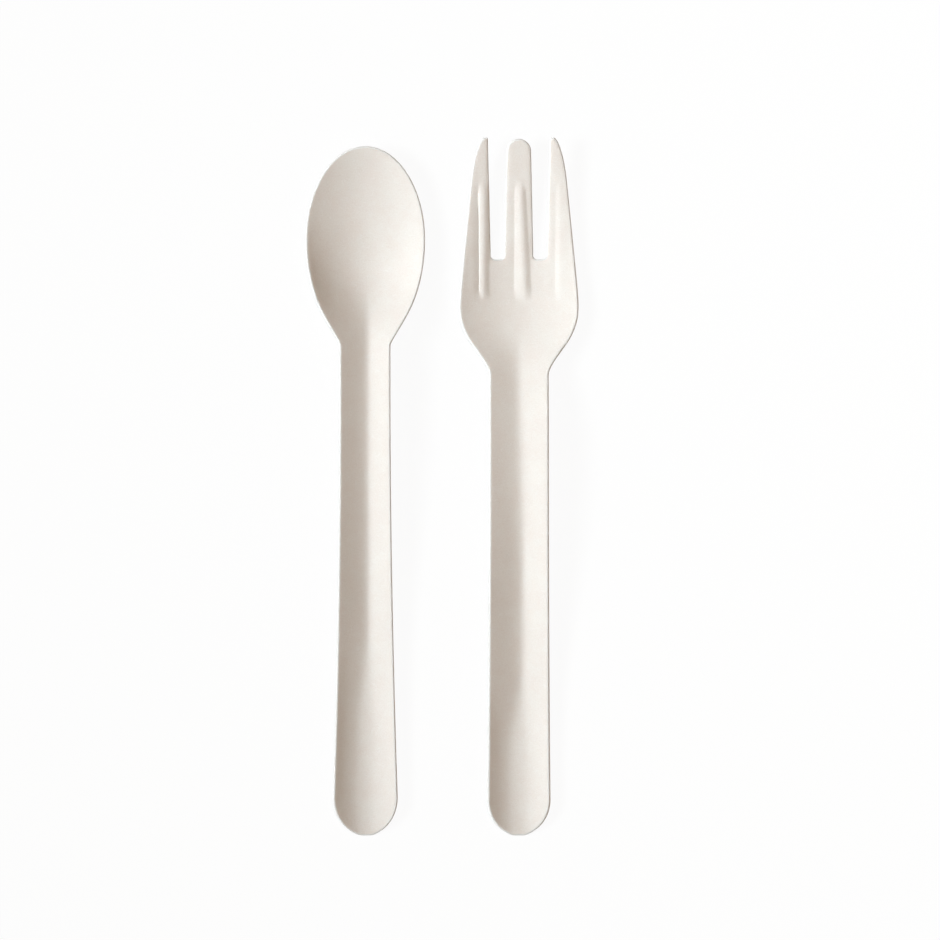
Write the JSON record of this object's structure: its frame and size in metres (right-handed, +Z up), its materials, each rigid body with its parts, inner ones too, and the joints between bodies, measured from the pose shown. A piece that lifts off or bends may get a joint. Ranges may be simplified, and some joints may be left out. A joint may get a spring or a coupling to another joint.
{
  "type": "paper cutlery kit",
  "caption": "Disposable spoon and fork pressed from white paper pulp, lying side by side, hollow side up, with a dished bowl, ribbed tines and V-trough handles.",
  "frame": {"origin": "middle of the kit's bounding box, on the surface that both pieces lie on", "axes": "+Y from the handles' ends towards the bowl and the tines, +X from the spoon towards the fork, +Z up out of the hollow side"},
  "size_m": [0.0628, 0.16, 0.0091],
  "materials": {
    "moulded_pulp": "matte"
  },
  "bodies": {
    "root": {"spoon": "moulded_pulp", "fork": "moulded_pulp"}
  },
  "joints": []
}
